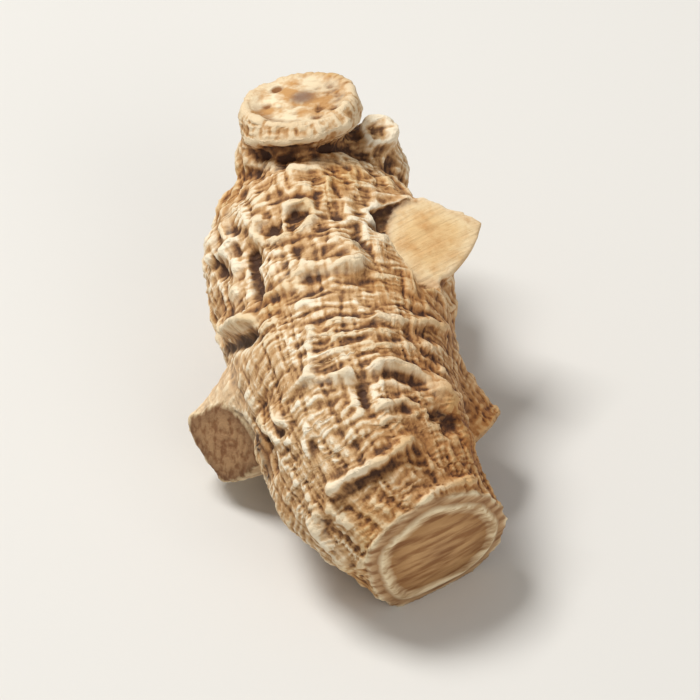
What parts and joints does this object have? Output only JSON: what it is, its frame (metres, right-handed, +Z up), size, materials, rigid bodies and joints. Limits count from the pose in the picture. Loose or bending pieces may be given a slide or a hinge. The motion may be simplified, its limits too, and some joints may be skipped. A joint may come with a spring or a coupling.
{
  "type": "ginseng root",
  "caption": "Short, thick dried ginseng root lying on its side, with a stem-scar crown, netted shoulder, ringed waist, trimmed side roots and a cut tail.",
  "frame": {"origin": "middle of the box's underside, on the surface that the root lies on", "axes": "+Y along the root towards its crown end, +Z up, +X to the right as the tail end is seen"},
  "size_m": [0.0306, 0.052, 0.0263],
  "materials": {
    "root_skin": "dried wrinkled root skin, matt, pale cream crests over tan and brown grooves"
  },
  "bodies": {
    "root": {"ginseng_root": "root_skin"}
  },
  "joints": []
}
